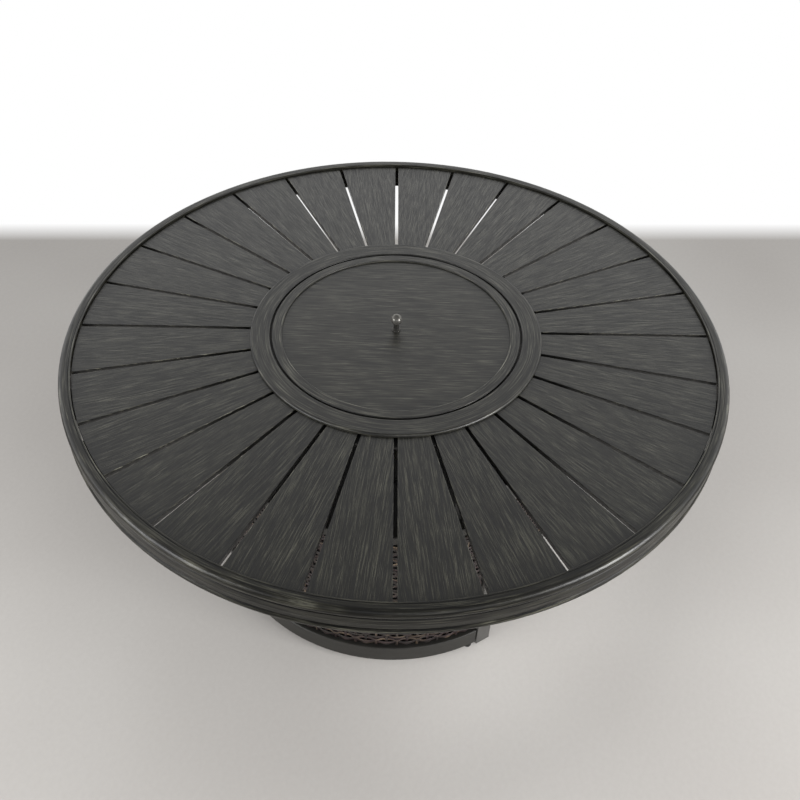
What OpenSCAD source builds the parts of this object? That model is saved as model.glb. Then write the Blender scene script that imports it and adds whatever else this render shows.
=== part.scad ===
// Round gas fire pit table with a radial slat top and a wicker drum base.
// Millimetres. The origin is on the floor under the centre of the top, +Z up.
// The access door faces -Y. Angles of the base are counted from -Y.

/* [Table top] */
// Diameter over the rim
top_d = 1372; // [1320:4:1440]
// Height of the rim's top face above the floor
table_h = 645; // [620:5:720]
// Radial width of the rim
rim_w = 24; // [22:1:34]
// Height of the rim
rim_h = 63; // [54:1:76]
// Wall thickness of the rim's section
rim_wall = 3; // [2:0.5:5]
// Radius of the rim's half-round top outer edge
rim_nose_r = 10.5; // [7:0.5:12]
// Radius of the bead along the rim's bottom edge
rim_bead_r = 7; // [5:0.5:8]
// Depth of the grooves above and below the rim's band
rim_groove = 2.5; // [1:0.5:3]
// Number of slats
slat_count = 28; // [24:4:32]
// Thickness of a slat
slat_t = 10; // [8:0.5:14]
// Gap between neighbouring slats
slat_gap = 7.5; // [4:0.5:12]
// How far the slats lie below the rim's top face
slat_drop = 6; // [4:0.5:8]
// Clearance between a slat's outer end and the rim
slat_end_gap = 1.5; // [1:0.5:3]
// Thickness of the ledges and the hoop that carry the slats
ledge_t = 5; // [3:0.5:6]
// Length of a ledge, measured from the rim inwards
ledge_l = 30; // [20:1:40]
// Width of a ledge along the rim
ledge_w = 80; // [50:2:100]

/* [Burner opening] */
// Inner diameter of the surround ring
opening_d = 530; // [500:2:560]
// Radial width of the surround ring
surround_w = 41; // [38:1:60]
// Radius of the surround ring's rounded outer edge
surround_edge_r = 4; // [2:0.5:4]
// Overlap of the surround ring on the slats' inner ends
slat_overlap = 20; // [14:1:20]
// Clearance between the lid and the surround ring
lid_gap = 4.5; // [2:0.5:6]
// Width of the raised band around the lid
lid_band_w = 20.5; // [14:0.5:30]
// Thickness of the lid's raised band
lid_band_t = 3.5; // [2:0.5:4]
// Thickness of the lid plate
lid_t = 2; // [1.5:0.5:3]
// Diameter of the lid knob's ball
ball_d = 24; // [18:1:34]
// Height of the lid knob above the lid plate
knob_h = 41; // [36:1:60]
// Radius of the lid knob's collar
collar_r = 9; // [8.5:0.5:14]
// Height of the lid knob's collar
collar_h = 3; // [2:0.5:5]
// Radius of the lid knob's neck
neck_r = 6; // [3.5:0.5:7]

/* [Fire bowl and burner] */
// Depth of the fire bowl below its flange
bowl_depth = 99; // [85:1:105]
// Wall thickness of the fire bowl
bowl_t = 2; // [1.5:0.5:3]
// Radial width of the flange that the bowl hangs by
bowl_flange_w = 37; // [30:1:45]
// How much smaller the bowl's floor is than its mouth, in radius
bowl_taper = 13; // [5:1:20]
// Radius of the ring burner's centre line
burner_r = 150; // [140:1:155]
// Outer radius of the burner tube
burner_tube_r = 9.5; // [8:0.5:10]
// Wall thickness of the burner tube
burner_wall = 1.5; // [1:0.25:2]
// Height of the burner tube's underside above the bowl's floor
burner_lift = 12; // [8:1:20]
// Number of gas ports in the ring burner
port_count = 24; // [12:4:36]
// Radius of a gas port
port_r = 1.2; // [0.8:0.1:2]
// Mean radius of a lava rock
rock_r = 19; // [14:0.5:19.5]
// Radius of the ceramic rod of the igniter electrode
electrode_r = 4; // [3:0.5:4.5]

/* [Top frame] */
// Width of a spoke
spoke_w = 40; // [30:1:44]
// Height of a spoke
spoke_h = 24; // [18:1:24]
// Wall thickness of the square tubes
tube_wall = 2; // [1.5:0.5:3]
// Outer reach of the inner hoop under the slats
hoop_reach = 36; // [28:1:40]
// Side of the front crossbar
crossbar_side = 25; // [20:1:25]
// Radius of a slat screw's shank
screw_r = 2; // [1.5:0.25:2.5]

/* [Drum base] */
// Outer diameter of the drum
base_d = 840; // [820:4:880]
// Open height between the drum and the spokes
neck_gap = 120; // [112:2:150]
// Height of the bottom ring above the floor
floor_gap = 15; // [12:1:20]
// Height of the bottom ring
bottom_ring_h = 50; // [40:1:70]
// Height of the top rail
top_rail_h = 21; // [18:1:40]
// Radial depth of the bottom ring and the top rail
rail_depth = 25; // [24:1:30]
// Wall thickness of the ring and the rail
rail_wall = 3; // [2:0.5:4]
// Thickness of the wicker
wicker_t = 9; // [7:1:12]
// Height of one row of the wicker's weave
weave_row = 18.7; // [16:0.1:24]
// How far a row of the weave swells out
weave_relief = 3; // [2:0.5:4]
// How far the wicker lies behind the face of the bottom ring
wicker_setback = 6; // [4:1:8]
// Side of a leg's square tube
leg_side = 30; // [25:1:35]
// Thickness of the base plate
plate_t = 3; // [2:0.5:4]
// Radius of a glide
glide_r = 10; // [8:0.5:12]

/* [Door] */
// Angle of a jamb's centre from the middle of the door
jamb_angle = 27; // [26.5:0.1:28]
// Width of a jamb
jamb_w = 37; // [34:1:40]
// Radial depth of a jamb
jamb_t = 20; // [16:1:22]
// Gap between a jamb and the end of the bottom ring
jamb_gap = 4.5; // [3:0.5:7]
// Thickness of the door
door_t = 20; // [16:1:24]
// Width of the door frame's members
stile_w = 25; // [20:1:35]
// Gap around the door
door_gap = 4; // [3:0.5:6]
// Radius of a hinge knuckle
knuckle_r = 5; // [4.5:0.25:5.5]
// Radius of a hinge pin
pin_r = 2.5; // [2:0.25:3]
// Length of one hinge knuckle
knuckle_l = 18; // [14:1:24]
// Length of the door pull
pull_l = 110; // [90:5:140]
// How far the door pull stands off the door
pull_reach = 30; // [25:1:35]
// Radius of the door pull's bar
pull_r = 5; // [4:0.5:6]

/* [Controls] */
// Height of the control plate
control_h = 88; // [80:1:90]
// Sideways distance of the knob and of the button from the middle
control_x = 55; // [45:1:80]
// Radius of the gas knob's skirt
gas_knob_r = 20; // [16:1:24]
// Length of the gas knob
gas_knob_l = 22; // [16:1:24]
// Inward travel of the gas knob
knob_travel = 3; // [2:0.5:3.5]
// Radius of the valve stem
stem_r = 3; // [2.5:0.25:3.5]
// Radius of the igniter button
button_r = 8; // [6:0.5:9]
// Travel of the igniter button
button_travel = 4; // [3:0.5:5]
// Outer radius of the gas line
line_r = 4.75; // [4:0.25:6]
// Outer radius of the valve's flare inlet
inlet_r = 7.94; // [6:0.01:9]
// Length of the valve's flare inlet
inlet_l = 16; // [12:1:18]

/* [Hidden] */

// Colours, as the photo shows them
charcoal = [0.30, 0.30, 0.29];
charcoal_light = [0.36, 0.36, 0.35];
ring_grey = [0.26, 0.26, 0.25];
jamb_grey = [0.42, 0.42, 0.41];
wicker_brown = [0.27, 0.21, 0.18];
soot_black = [0.09, 0.09, 0.09];
steel = [0.62, 0.62, 0.62];
brass = [0.72, 0.58, 0.32];
rock_grey = [0.24, 0.21, 0.20];
rubber_black = [0.07, 0.07, 0.07];

// Clearances
touch = 0.3;
running = 0.06;
press = 0.05;
eps = 0.01;

// Facets of large and small circles
fine = 192;
round_fn = 64;
small_fn = 32;

// Levels
slat_top = table_h - slat_drop;
slat_bottom = slat_top - slat_t;
ledge_bottom = slat_bottom - ledge_t;
spoke_bottom = ledge_bottom - spoke_h;
crossbar_bottom = spoke_bottom - crossbar_side;
drum_top = spoke_bottom - neck_gap;
rail_bottom = drum_top - top_rail_h;
ring_top = floor_gap + bottom_ring_h;
plate_bottom = floor_gap + rail_wall;
plate_top = plate_bottom + plate_t;
bowl_flange_bottom = slat_top - bowl_t;
bowl_floor = slat_top - bowl_depth;
bowl_underside = bowl_floor - bowl_t;
lid_bottom = slat_top;
lid_face = lid_bottom + lid_t;

// Radii of the top
rim_r = top_d / 2;
rim_inner_r = rim_r - rim_w;
slat_outer_r = rim_inner_r - slat_end_gap;
opening_r = opening_d / 2;
surround_r = opening_r + surround_w;
slat_inner_r = surround_r - slat_overlap;
flange_slat_gap = 2;
flange_r = slat_inner_r - flange_slat_gap;
bowl_mouth_r = flange_r - bowl_flange_w;
lid_r = opening_r - lid_gap;
lid_plate_inset = 0.5;
lid_plate_r = lid_r - lid_plate_inset;
slat_pitch = 360 / slat_count;

// Radii of the base
base_r = base_d / 2;
rail_inner_r = base_r - rail_depth;
wicker_r = base_r - wicker_setback;
wicker_inner_r = wicker_r - wicker_t;
leg_outer = sqrt(pow(rail_inner_r - touch, 2) - pow(leg_side / 2, 2));
leg_center_r = leg_outer - leg_side / 2;

// Angles of the base, from -Y
front = -90;
jamb_half_angle = asin(jamb_w / 2 / base_r);
ring_end_angle = jamb_angle + jamb_half_angle + asin(jamb_gap / base_r);
front_leg_step = 3;
back_leg_step = slat_count / 2 - 4;
leg_angles = [for (s = [-back_leg_step, -front_leg_step, front_leg_step, back_leg_step]) s * slat_pitch];

// The crossbar lies over the middle of the jambs
crossbar_y = -(base_r - jamb_t / 2) * cos(jamb_angle);
jamb_inner_x = (base_r - jamb_t) * sin(jamb_angle) - jamb_w / 2 * cos(jamb_angle);

// The knob, the valve and the gas line share one height, a little below the plate's middle
knob_below_middle = 8;
control_top = crossbar_bottom;
control_bottom = control_top - control_h;
control_z = (control_top + control_bottom) / 2 - knob_below_middle;

function slat_name(k) = str("slat_", k < 10 ? "0" : "", k);

// Points on an arc, from angle a0 to angle a1
function arc(c, r, a0, a1, n = 8) =
  [for (i = [0 : n]) let (a = a0 + (a1 - a0) * i / n) [c[0] + r * cos(a), c[1] + r * sin(a)]];

// A ring turned from a section, with an opening at the front
module open_ring(half_angle) {
  rotate([0, 0, front + half_angle])
    rotate_extrude(angle = 360 - 2 * half_angle, $fn = fine)
      children();
}

// Places its children at an angle from -Y, with +X pointing outwards
module at_angle(a) {
  rotate([0, 0, front + a]) children();
}

// A square tube standing on z0, open at both ends
module square_tube(size_x, size_y, z0, z1, wall) {
  translate([-size_x / 2, -size_y / 2, z0])
    difference() {
      cube([size_x, size_y, z1 - z0]);
      translate([wall, wall, -1])
        cube([size_x - 2 * wall, size_y - 2 * wall, z1 - z0 + 2]);
    }
}

// Slats

// Each slat has one screw near its outer end and one near its inner end
outer_screw_r = rim_inner_r - ledge_l / 2;
inner_screw_r = slat_inner_r + slat_overlap / 2;
// Share of the slat's thickness that an outer screw enters
outer_screw_share = 0.7;
outer_screw_depth = slat_t * outer_screw_share;
surround_screw_depth = (table_h - slat_top) / 2;
screw_hole_r = screw_r + press;
screw_end_gap = 0.5;

// Outline of a slat that points along +X, with parallel gaps to its neighbours
module slat_outline() {
  half = slat_pitch / 2;
  reach = slat_outer_r + slat_gap;
  tip = slat_gap / 2 / sin(half);
  intersection() {
    polygon([[tip, 0], [tip + reach * cos(half), reach * sin(half)],
             [tip + reach * cos(half), -reach * sin(half)]]);
    difference() {
      circle(r = slat_outer_r, $fn = fine);
      circle(r = slat_inner_r, $fn = fine);
    }
  }
}

module slat(k) {
  color(charcoal)
    at_angle((k - 1) * slat_pitch)
      difference() {
        translate([0, 0, slat_bottom])
          linear_extrude(slat_t) slat_outline();
        translate([inner_screw_r, 0, slat_bottom - 1])
          cylinder(r = screw_hole_r, h = slat_t + 2, $fn = small_fn);
        translate([outer_screw_r, 0, slat_bottom - 1])
          cylinder(r = screw_hole_r, h = outer_screw_depth + 1, $fn = small_fn);
      }
}

// Rim

inner_edge_ease = 1;
groove_step = 1;
line_depth = 0.8;
line_from_edge = 3.5;
rim_cavity_r = rim_r - rim_groove - 2 * rim_wall;
band_bulge = 1;

// Section of the rim: x is the radius, y is measured down from the top face
module rim_section() {
  band_r = rim_r - rim_groove;
  groove_r = band_r - groove_step;
  nose_end = acos(1 - (rim_r - groove_r) / rim_nose_r);
  nose_bottom = -rim_nose_r * (1 + sin(nose_end));
  band_top = nose_bottom - rim_groove;
  bead_y = -rim_h + rim_bead_r;
  bead_end = acos(1 - (rim_r - groove_r) / rim_bead_r);
  band_bottom = bead_y + rim_bead_r * sin(bead_end) + rim_groove;
  polygon(concat(
    [[rim_inner_r, -rim_h], [rim_inner_r, -inner_edge_ease], [rim_inner_r + inner_edge_ease, 0],
     [rim_inner_r + line_from_edge, 0],
     [rim_inner_r + line_from_edge + line_depth / 2, -line_depth],
     [rim_inner_r + line_from_edge + line_depth, 0]],
    arc([rim_r - rim_nose_r, -rim_nose_r], rim_nose_r, 90, -nose_end, 12),
    [[groove_r, nose_bottom - rim_groove / 2], [band_r, band_top],
     [band_r + band_bulge, (band_top + band_bottom) / 2],
     [band_r, band_bottom], [groove_r, band_bottom - rim_groove / 2]],
    arc([rim_r - rim_bead_r, bead_y], rim_bead_r, bead_end, -90),
    [[rim_cavity_r, -rim_h], [rim_cavity_r, -rim_wall],
     [rim_inner_r + rim_wall, -rim_wall], [rim_inner_r + rim_wall, -rim_h]]));
}

module outer_rim() {
  half_ledge = asin(ledge_w / 2 / rim_inner_r);
  color(charcoal_light) {
    difference() {
      union() {
        translate([0, 0, table_h])
          rotate_extrude($fn = fine) rim_section();
        for (k = [0 : slat_count - 1])
          at_angle(k * slat_pitch - half_ledge)
            rotate_extrude(angle = 2 * half_ledge, $fn = fine)
              translate([rim_inner_r - ledge_l, ledge_bottom])
                square([ledge_l + rim_wall / 2, ledge_t]);
      }
      for (k = [0 : slat_count - 1])
        at_angle(k * slat_pitch)
          translate([outer_screw_r, 0, ledge_bottom - 1])
            cylinder(r = screw_hole_r, h = ledge_t + 2, $fn = small_fn);
    }
  }
}

// Surround ring, lid and lid knob

module surround_ring() {
  inner_edge_r = 2;
  thick = table_h - slat_top;
  color(charcoal)
    difference() {
      translate([0, 0, slat_top])
        rotate_extrude($fn = fine)
          polygon(concat(
            [[opening_r, 0], [surround_r, 0]],
            arc([surround_r - surround_edge_r, thick - surround_edge_r], surround_edge_r, 0, 90),
            arc([opening_r + inner_edge_r, thick - inner_edge_r], inner_edge_r, 90, 180)));
      for (k = [0 : slat_count - 1])
        at_angle(k * slat_pitch)
          translate([inner_screw_r, 0, slat_top - 1])
            cylinder(r = screw_hole_r, h = surround_screw_depth + 1, $fn = small_fn);
    }
}

stud_r = 3;
stud_l = 8;

module lid_plate() {
  color(charcoal)
    translate([0, 0, lid_bottom])
      difference() {
        cylinder(r = lid_plate_r, h = lid_t, $fn = fine);
        translate([0, 0, -1])
          cylinder(r = stud_r + press, h = lid_t + 2, $fn = small_fn);
      }
}

module lid_band() {
  edge_r = 1.5;
  color(charcoal)
    translate([0, 0, lid_face])
      rotate_extrude($fn = fine)
        polygon(concat(
          [[lid_r - lid_band_w, 0], [lid_r, 0]],
          arc([lid_r - edge_r, lid_band_t - edge_r], edge_r, 0, 90, 5),
          arc([lid_r - lid_band_w + edge_r, lid_band_t - edge_r], edge_r, 90, 180, 5)));
}

module lid_knob() {
  ball_r = ball_d / 2;
  ball_z = knob_h - ball_r;
  flare = (collar_r - neck_r) / 3;
  collar_ease = flare;
  color(steel)
    translate([0, 0, lid_face]) {
      rotate_extrude($fn = round_fn)
        polygon(concat(
          [[0, 0], [collar_r, 0], [collar_r, collar_h - collar_ease], [collar_r - collar_ease, collar_h],
           [neck_r + flare, collar_h], [neck_r, collar_h + flare]],
          arc([0, ball_z], ball_r, -acos(neck_r / ball_r), 90, 24)));
      translate([0, 0, -stud_l])
        cylinder(r = stud_r, h = stud_l + eps, $fn = small_fn);
    }
}

// Frame under the slats

hoop_bowl_gap = 10;
hoop_inner_r = bowl_mouth_r + bowl_t + hoop_bowl_gap;
hoop_outer_r = slat_inner_r + hoop_reach;
upstand_w = 5;
weld_inset = 4;

module spokes() {
  for (a = leg_angles)
    at_angle(a)
      intersection() {
        translate([(hoop_inner_r + rim_inner_r) / 2, 0, 0])
          rotate([90, 0, 90])
            translate([0, 0, -(rim_inner_r - hoop_inner_r) / 2])
              linear_extrude(rim_inner_r - hoop_inner_r)
                translate([-spoke_w / 2, spoke_bottom])
                  difference() {
                    square([spoke_w, spoke_h]);
                    translate([tube_wall, tube_wall])
                      square([spoke_w - 2 * tube_wall, spoke_h - 2 * tube_wall]);
                  }
        cylinder(r = rim_inner_r, h = table_h, $fn = fine);
      }
}

// Welds between spokes and hoop, inside the walls of both
module hoop_welds() {
  for (a = leg_angles)
    at_angle(a)
      translate([hoop_inner_r + weld_inset, -spoke_w / 4, ledge_bottom - tube_wall / 2])
        cube([hoop_outer_r - hoop_inner_r - 2 * weld_inset, spoke_w / 2, tube_wall]);
}

module crossbar() {
  half_l = -crossbar_y * tan(front_leg_step * slat_pitch);
  translate([0, crossbar_y, 0])
    rotate([0, 90, 0])
      translate([0, 0, -half_l])
        linear_extrude(2 * half_l)
          difference() {
            translate([-spoke_bottom - eps, -crossbar_side / 2])
              square([crossbar_side + eps, crossbar_side]);
            translate([-spoke_bottom + tube_wall, -crossbar_side / 2 + tube_wall])
              square([crossbar_side - 2 * tube_wall, crossbar_side - 2 * tube_wall]);
          }
}

module top_frame() {
  color(soot_black)
    difference() {
      union() {
        rotate_extrude($fn = fine)
          polygon([[hoop_inner_r, ledge_bottom], [hoop_outer_r, ledge_bottom],
                   [hoop_outer_r, slat_bottom], [flange_r, slat_bottom],
                   [flange_r, bowl_flange_bottom], [flange_r - upstand_w, bowl_flange_bottom],
                   [flange_r - upstand_w, slat_bottom], [hoop_inner_r, slat_bottom]]);
        spokes();
        hoop_welds();
        crossbar();
      }
      for (k = [0 : slat_count - 1])
        at_angle(k * slat_pitch)
          translate([inner_screw_r, 0, spoke_bottom - 1])
            cylinder(r = screw_hole_r, h = spoke_h + ledge_t + 2, $fn = small_fn);
      for (a = leg_angles)
        at_angle(a)
          translate([outer_screw_r, 0, spoke_bottom - 1])
            cylinder(r = screw_hole_r, h = spoke_h + 2, $fn = small_fn);
    }
}

// Screws: the outer ones hold a slat to its ledge, the inner ones hold a slat and the surround ring

module screw(r_pos, z_seat, length) {
  head_r = 2 * screw_r;
  head_h = screw_r;
  translate([r_pos, 0, z_seat]) {
    cylinder(r = screw_r, h = length, $fn = small_fn);
    translate([0, 0, -head_h])
      cylinder(r = head_r, h = head_h, $fn = small_fn);
  }
}

// Where a slat lies over a spoke, its screws pass through the spoke and their heads lie under it
function over_spoke(k) =
  len([for (a = leg_angles) if (abs(((k * slat_pitch - a + 540) % 360) - 180) < 1) 1]) > 0;

module slat_screws() {
  color(steel)
    for (k = [0 : slat_count - 1])
      at_angle(k * slat_pitch) {
        seat = over_spoke(k) ? spoke_bottom : ledge_bottom;
        screw(outer_screw_r, seat, slat_bottom + outer_screw_depth - screw_end_gap - seat);
        screw(inner_screw_r, seat, slat_top + surround_screw_depth - screw_end_gap - seat);
      }
}

// Fire bowl, burner and rocks

inlet_pipe_r = burner_tube_r;
burner_z = bowl_floor + burner_lift + burner_tube_r;
bowl_floor_r = bowl_mouth_r - bowl_taper;
electrode_burner_gap = 3;
electrode_pos = burner_r + burner_tube_r + electrode_r + electrode_burner_gap;
electrode_angle = 60;

module fire_bowl() {
  color(soot_black)
    difference() {
      rotate_extrude($fn = fine)
        polygon([[0, bowl_underside], [bowl_floor_r + bowl_t, bowl_underside],
                 [bowl_mouth_r + bowl_t, bowl_flange_bottom], [flange_r, bowl_flange_bottom],
                 [flange_r, slat_top], [bowl_mouth_r, slat_top],
                 [bowl_floor_r, bowl_floor], [0, bowl_floor]]);
      translate([0, 0, bowl_underside - 1])
        cylinder(r = inlet_pipe_r + touch, h = bowl_t + 2, $fn = round_fn);
      at_angle(electrode_angle)
        translate([electrode_pos, 0, bowl_underside - 1])
          cylinder(r = electrode_r + press, h = bowl_t + 2, $fn = small_fn);
    }
}

pipe_below_line = 12;
inlet_pipe_bottom = control_z - pipe_below_line;
inlet_pipe_wall = 2.5;
pipe_collar_h = 4;
pipe_collar_w = 6;

module burner_ring() {
  bore_r = burner_tube_r - burner_wall;
  cross_tube_r = burner_tube_r - 0.5;
  color(steel)
    difference() {
      union() {
        translate([0, 0, burner_z])
          rotate_extrude($fn = fine)
            translate([burner_r, 0]) circle(r = burner_tube_r, $fn = small_fn);
        translate([-burner_r, 0, burner_z])
          rotate([0, 90, 0]) cylinder(r = cross_tube_r, h = 2 * burner_r, $fn = small_fn);
        translate([0, 0, inlet_pipe_bottom])
          cylinder(r = inlet_pipe_r, h = burner_z - inlet_pipe_bottom, $fn = small_fn);
        translate([0, 0, bowl_floor])
          cylinder(r = inlet_pipe_r + pipe_collar_w, h = pipe_collar_h, $fn = small_fn);
      }
      translate([0, 0, burner_z])
        rotate_extrude($fn = fine)
          translate([burner_r, 0]) circle(r = bore_r, $fn = small_fn);
      translate([-burner_r, 0, burner_z])
        rotate([0, 90, 0]) cylinder(r = cross_tube_r - burner_wall, h = 2 * burner_r, $fn = small_fn);
      translate([0, 0, inlet_pipe_bottom + burner_wall])
        cylinder(r = inlet_pipe_r - inlet_pipe_wall, h = burner_z - inlet_pipe_bottom, $fn = small_fn);
      for (i = [0 : port_count - 1])
        rotate([0, 0, (i + 0.5) * 360 / port_count])
          translate([burner_r, 0, burner_z])
            cylinder(r = port_r, h = 2 * burner_tube_r, $fn = 16);
    }
}

// A rock is a rounded lump with a flat base, uneven by a seeded draw
rock_rings = 4;
rock_sides = 8;
rock_twist = 9;
rock_peak = 1.3;
rock_gap = 1;

module rock(seed) {
  uneven = rands(0.82, 1.0, rock_rings * rock_sides, seed);
  heights = [0, 0.35, 0.8, 1.15];
  widths = [0.72, 0.98, 0.92, 0.55];
  points = concat(
    [for (j = [0 : rock_rings - 1]) for (i = [0 : rock_sides - 1])
      let (w = rock_r * widths[j] * uneven[j * rock_sides + i], a = i * 360 / rock_sides + rock_twist * j)
      [w * cos(a), w * sin(a), rock_r * heights[j]]],
    [[0, 0, 0], [0, 0, rock_r * rock_peak]]);
  bottom = rock_rings * rock_sides;
  top = bottom + 1;
  faces = concat(
    [for (j = [0 : rock_rings - 2]) for (i = [0 : rock_sides - 1])
      let (p = j * rock_sides + i, q = j * rock_sides + (i + 1) % rock_sides)
      [p, p + rock_sides, q + rock_sides]],
    [for (j = [0 : rock_rings - 2]) for (i = [0 : rock_sides - 1])
      let (p = j * rock_sides + i, q = j * rock_sides + (i + 1) % rock_sides)
      [p, q + rock_sides, q]],
    [for (i = [0 : rock_sides - 1]) [i, (i + 1) % rock_sides, bottom]],
    [for (i = [0 : rock_sides - 1])
      let (p = (rock_rings - 1) * rock_sides + i, q = (rock_rings - 1) * rock_sides + (i + 1) % rock_sides)
      [p, top, q]]);
  polyhedron(points = points, faces = faces);
}

// Rocks lie on the bowl's floor in circles, inside and outside the ring burner,
// and leave the cross tube its way through
module rock_circle(r, seed) {
  count = floor(360 / (2 * asin((rock_r + rock_gap / 2) / r)));
  clear_of_tube = rock_r + burner_tube_r + rock_gap;
  for (i = [0 : count - 1])
    let (a = (i + seed / 4) * 360 / count)
      if (r > burner_r || abs(r * sin(a)) > clear_of_tube)
        translate([r * cos(a), r * sin(a), bowl_floor])
          rotate([0, 0, 40 * i])
            rock(seed * 100 + i);
}

module lava_rocks() {
  spacing = 2 * rock_r + rock_gap;
  inner_edge = burner_r - burner_tube_r - rock_gap - rock_r;
  outer_edge = bowl_floor_r - 2 * rock_gap - rock_r;
  color(rock_grey) {
    rock_circle(inner_edge, 1);
    rock_circle(inner_edge - spacing, 2);
    rock_circle(outer_edge, 3);
  }
}

module igniter_electrode() {
  collar_t = 3;
  collar_w = 3;
  below_bowl = 12;
  tip_h = 12;
  wire_r = 1.2;
  color([0.88, 0.86, 0.80])
    at_angle(electrode_angle)
      translate([electrode_pos, 0, 0]) {
        translate([0, 0, bowl_underside - below_bowl])
          cylinder(r = electrode_r, h = burner_z - bowl_underside + below_bowl, $fn = small_fn);
        translate([0, 0, bowl_underside - collar_t])
          cylinder(r = electrode_r + collar_w, h = collar_t, $fn = small_fn);
        translate([0, 0, burner_z])
          cylinder(r = wire_r, h = tip_h, $fn = 16);
      }
}

// Controls

control_t = 2;
control_set_in = 5;
control_side_gap = 2;
control_face = crossbar_y - crossbar_side / 2 + control_set_in;
control_back = control_face + control_t;
control_half_w = jamb_inner_x - control_side_gap;

// Turns a cylinder to point along +Y
module along_y(x, y, z) {
  translate([x, y, z]) rotate([-90, 0, 0]) children();
}

module_r = 11;
bezel_r = 13;
bezel_t = 2;

module control_plate() {
  flange_w = 14;
  stem_hole_gap = 1;
  color(soot_black)
    difference() {
      union() {
        translate([-control_half_w, control_face, control_bottom])
          cube([2 * control_half_w, control_t, control_h]);
        translate([-control_half_w, control_face, control_top - control_t])
          cube([2 * control_half_w, flange_w, control_t]);
        translate([-control_half_w, control_face, control_bottom])
          cube([2 * control_half_w, flange_w, control_t]);
      }
      along_y(-control_x, control_face - 1, control_z)
        cylinder(r = stem_r + stem_hole_gap, h = control_t + 2, $fn = small_fn);
      along_y(control_x, control_face - 1, control_z)
        cylinder(r = module_r + touch, h = control_t + 2, $fn = round_fn);
    }
}

// Gas valve: the neck meets the back of the control plate
valve_neck_l = 16;
valve_neck_r = 9;
valve_l = 40;
valve_w = 36;
valve_h = 36;
outlet_l = 10;
outlet_r = 7;
cup_r = 5.6;
cup_depth = 12;
stem_l = 55;
stem_seat_l = 24;
collar_len = 3;
collar_from_plate = 2;
valve_face = control_back + valve_neck_l;
valve_back = valve_face + valve_l;

module gas_valve() {
  color(brass)
    difference() {
      union() {
        along_y(-control_x, control_back, control_z)
          cylinder(r = valve_neck_r, h = valve_neck_l + eps, $fn = round_fn);
        translate([-control_x - valve_w / 2, valve_face, control_z - valve_h / 2])
          cube([valve_w, valve_l, valve_h]);
        along_y(-control_x, valve_back - eps, control_z)
          cylinder(r = outlet_r, h = outlet_l + eps, $fn = round_fn);
        translate([-control_x, valve_face + valve_l / 2, control_z - valve_h / 2 - inlet_l])
          cylinder(r = inlet_r, h = inlet_l + eps, $fn = round_fn);
      }
      along_y(-control_x, control_back - 1, control_z)
        cylinder(r = cup_r, h = cup_depth + 1, $fn = round_fn);
      along_y(-control_x, control_back, control_z)
        cylinder(r = stem_r + running, h = valve_neck_l + stem_seat_l, $fn = round_fn);
    }
}

knob_plate_gap = 1;
stem_in_knob = 16;
knob_back = control_face - knob_travel - knob_plate_gap;
knob_front = knob_back - gas_knob_l;
stem_front = knob_back - stem_in_knob;

module stem_collar() {
  color(steel)
    along_y(-control_x, control_back + collar_from_plate, control_z)
      difference() {
        cylinder(r = cup_r - running, h = collar_len, $fn = round_fn);
        translate([0, 0, -1])
          cylinder(r = stem_r + running, h = collar_len + 2, $fn = round_fn);
      }
}

module valve_stem() {
  color(brass)
    along_y(-control_x, stem_front, control_z)
      cylinder(r = stem_r, h = stem_l, $fn = round_fn);
}

module gas_knob() {
  skirt_h = 8;
  skirt_ease = 2;
  grip_w = 10;
  grip_h = gas_knob_l - skirt_h;
  grip_l = 2 * gas_knob_r - 7;
  pointer_w = 1.6;
  pointer_l = 9;
  pointer_depth = 0.8;
  color(rubber_black)
    difference() {
      union() {
        along_y(-control_x, knob_back, control_z)
          mirror([0, 0, 1])
            rotate_extrude($fn = round_fn)
              polygon([[0, 0], [gas_knob_r, 0], [gas_knob_r, skirt_h - skirt_ease],
                       [gas_knob_r - skirt_ease, skirt_h], [0, skirt_h]]);
        translate([-control_x - grip_w / 2, knob_front, control_z - grip_l / 2])
          cube([grip_w, grip_h + 1, grip_l]);
      }
      along_y(-control_x, stem_front - 0.5, control_z)
        cylinder(r = stem_r + press, h = knob_back - stem_front + 2, $fn = round_fn);
      // Pointer groove along the grip
      translate([-control_x - pointer_w / 2, knob_front - 1, control_z + grip_l / 2 - pointer_l])
        cube([pointer_w, pointer_depth + 1, pointer_l + 1]);
    }
}

module_l = 48;
button_bore_l = 21;

module igniter_module() {
  color(rubber_black)
    difference() {
      union() {
        along_y(control_x, control_face - bezel_t, control_z)
          cylinder(r = bezel_r, h = bezel_t, $fn = round_fn);
        along_y(control_x, control_face - eps, control_z)
          cylinder(r = module_r, h = module_l, $fn = round_fn);
      }
      along_y(control_x, control_face - bezel_t - 1, control_z)
        cylinder(r = button_r + running, h = button_bore_l + 1, $fn = round_fn);
    }
}

module igniter_button() {
  ease = 1;
  inside = 9;
  proud = button_travel + 2;
  color([0.5, 0.08, 0.06])
    along_y(control_x, control_face - bezel_t - proud, control_z)
      rotate_extrude($fn = round_fn)
        polygon([[0, 0], [button_r - ease, 0], [button_r, ease],
                 [button_r, proud + inside], [0, proud + inside]]);
}

// Gas line from the valve's outlet to the inlet pipe under the bowl
line_bend = 25;

module gas_line() {
  line_start = valve_back + outlet_l;
  color(brass) {
    along_y(-control_x, line_start, control_z)
      cylinder(r = line_r, h = -line_bend - line_start, $fn = small_fn);
    translate([-control_x + line_bend, -line_bend, control_z])
      rotate([0, 0, 90])
        rotate_extrude(angle = 90, $fn = round_fn)
          translate([line_bend, 0]) circle(r = line_r, $fn = small_fn);
    translate([-control_x + line_bend, 0, control_z])
      rotate([0, 90, 0])
        cylinder(r = line_r, h = control_x - line_bend - inlet_pipe_r - touch, $fn = small_fn);
  }
}

// Base

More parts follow.
